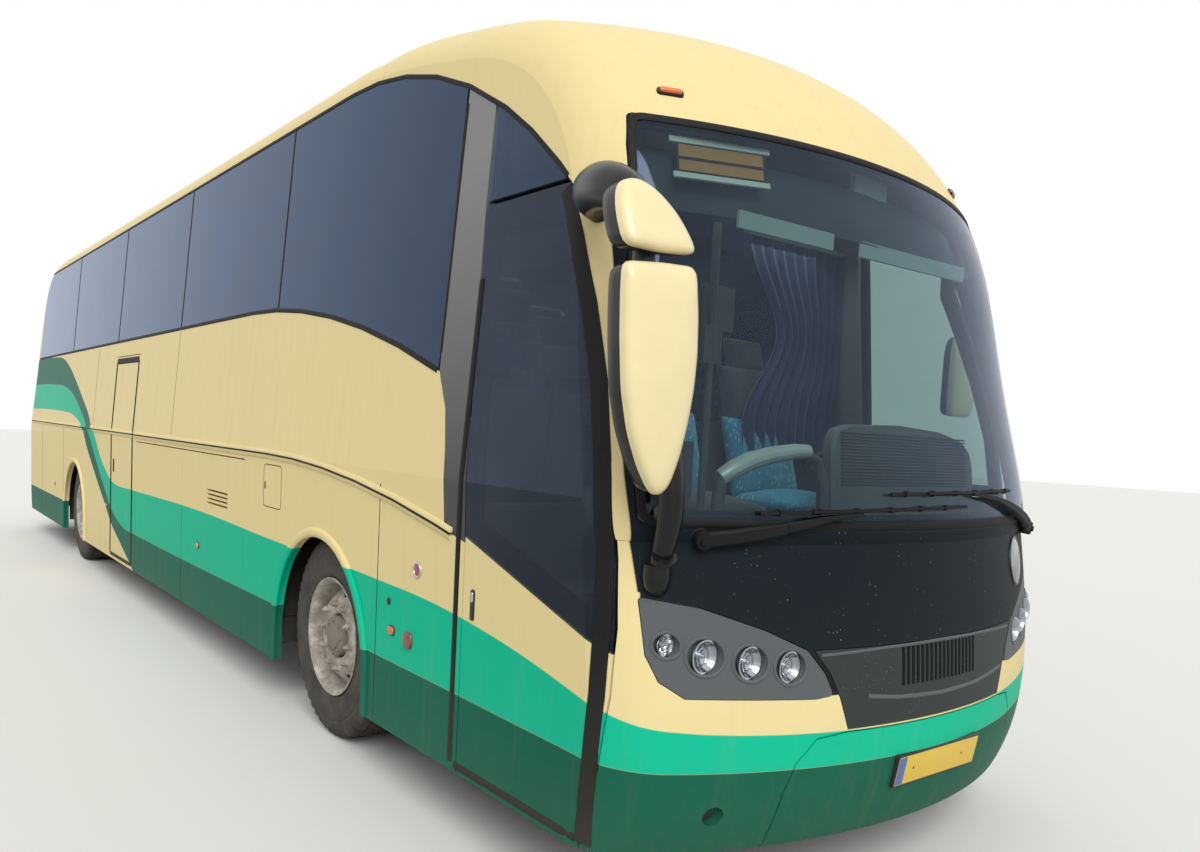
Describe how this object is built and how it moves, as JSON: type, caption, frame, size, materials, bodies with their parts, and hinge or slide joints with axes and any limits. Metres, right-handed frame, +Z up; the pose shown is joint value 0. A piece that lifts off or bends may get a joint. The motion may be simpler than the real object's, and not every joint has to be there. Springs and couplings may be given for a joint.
{
  "type": "coach bus",
  "caption": "Full-size touring coach with a curved windscreen, high window band, hinged doors and luggage flaps, steered front wheels and twin rear wheels.",
  "frame": {"origin": "on the road under the middle of the overall length and width", "axes": "+X to the front, +Y to the left, +Z up"},
  "size_m": [12.8433, 3.0375, 3.4898],
  "materials": {
    "cream_paint": "gloss, slightly dusty",
    "silver_paint": "satin",
    "black_panel": "matte, dusty",
    "grey_panel": "satin",
    "tinted_glass": "dark tint",
    "clear_glass": "clear",
    "lamp_lens": "clear over chrome reflector",
    "red_lens": "gloss",
    "tyre_rubber": "matte, dusty",
    "wheel_steel": "satin, dusty",
    "chassis_steel": "matte",
    "cast_steel": "rough",
    "floor_board": "matte",
    "dash_plastic": "matte",
    "seat_cloth": "woven"
  },
  "bodies": {
    "body": {"cabin_glass": "tinted_glass", "chassis_frame": "chassis_steel", "dashboard": "dash_plastic", "engine_block": "cast_steel", "floor_deck": "floor_board", "front_axle": "cast_steel", "front_bumper": "cream_paint", "front_mask": "black_panel", "grille_panel": "grey_panel", "headlamp_pods": "grey_panel", "headlamps": "lamp_lens", "luggage_hold": "floor_board", "luggage_racks": "dash_plastic", "mirrors": "cream_paint", "pillar_trims": "silver_paint", "rear_axle": "cast_steel", "rear_panel": "cream_paint", "roof_shell": "cream_paint", "seats": "seat_cloth", "side_panels": "cream_paint", "skirts": "cream_paint", "steps": "floor_board", "tail_lamps": "red_lens", "tow_beam": "chassis_steel", "window_frames": "black_panel", "windscreen": "clear_glass", "wipers": "black_panel"},
    "front_door": {"front_door": "cream_paint", "front_door_glass": "clear_glass"},
    "mid_door": {"mid_door": "cream_paint"},
    "flap_right_front": {"flap_right_front": "cream_paint"},
    "flap_right_rear": {"flap_right_rear": "cream_paint"},
    "flap_left_front": {"flap_left_front": "cream_paint"},
    "flap_left_rear": {"flap_left_rear": "cream_paint"},
    "engine_lid": {"engine_lid": "cream_paint"},
    "knuckle_left": {"knuckle_left": "cast_steel"},
    "knuckle_right": {"knuckle_right": "cast_steel"},
    "front_wheel_left": {"front_tyre_left": "tyre_rubber", "front_rim_left": "wheel_steel"},
    "front_wheel_right": {"front_tyre_right": "tyre_rubber", "front_rim_right": "wheel_steel"},
    "rear_wheels_left": {"rear_tyres_left": "tyre_rubber", "rear_rims_left": "wheel_steel"},
    "rear_wheels_right": {"rear_tyres_right": "tyre_rubber", "rear_rims_right": "wheel_steel"}
  },
  "joints": [
    {"name": "front_door_hinge", "type": "hinge", "parent": "body", "child": "front_door", "pos_m": [6.012, -1.262, 1.4], "axis": [0, 0, 1], "range_deg": [0, 85]},
    {"name": "mid_door_hinge", "type": "hinge", "parent": "body", "child": "mid_door", "pos_m": [-0.374, -1.277, 1.2], "axis": [0, 0, 1], "range_deg": [0, 85]},
    {"name": "flap_right_front_hinge", "type": "hinge", "parent": "body", "child": "flap_right_front", "pos_m": [1.8, -1.277, 1.366], "axis": [-1, 0, 0], "range_deg": [0, 95]},
    {"name": "flap_right_rear_hinge", "type": "hinge", "parent": "body", "child": "flap_right_rear", "pos_m": [0.4, -1.277, 1.366], "axis": [-1, 0, 0], "range_deg": [0, 95]},
    {"name": "flap_left_front_hinge", "type": "hinge", "parent": "body", "child": "flap_left_front", "pos_m": [1.8, 1.277, 1.366], "axis": [1, 0, 0], "range_deg": [0, 95]},
    {"name": "flap_left_rear_hinge", "type": "hinge", "parent": "body", "child": "flap_left_rear", "pos_m": [0.4, 1.277, 1.366], "axis": [1, 0, 0], "range_deg": [0, 95]},
    {"name": "engine_lid_hinge", "type": "hinge", "parent": "body", "child": "engine_lid", "pos_m": [-6.33, 0, 1.797], "axis": [0, 1, 0], "range_deg": [0, 70]},
    {"name": "steer_left", "type": "hinge", "parent": "body", "child": "knuckle_left", "pos_m": [3.69, 0.86, 0.522], "axis": [0, 0, 1], "range_deg": [-32, 32]},
    {"name": "steer_right", "type": "hinge", "parent": "body", "child": "knuckle_right", "pos_m": [3.69, -0.86, 0.522], "axis": [0, 0, 1], "range_deg": [-32, 32]},
    {"name": "front_wheel_left_spin", "type": "hinge", "parent": "knuckle_left", "child": "front_wheel_left", "pos_m": [3.69, 1.062, 0.522], "axis": [0, 1, 0], "continuous": true},
    {"name": "front_wheel_right_spin", "type": "hinge", "parent": "knuckle_right", "child": "front_wheel_right", "pos_m": [3.69, -1.062, 0.522], "axis": [0, 1, 0], "continuous": true},
    {"name": "rear_wheels_left_spin", "type": "hinge", "parent": "body", "child": "rear_wheels_left", "pos_m": [-3.03, 0.9, 0.522], "axis": [0, 1, 0], "continuous": true},
    {"name": "rear_wheels_right_spin", "type": "hinge", "parent": "body", "child": "rear_wheels_right", "pos_m": [-3.03, -0.9, 0.522], "axis": [0, 1, 0], "continuous": true}
  ],
  "couplings": [
    {"joint": "steer_left", "follows": "steer_right", "ratio": 1}
  ]
}
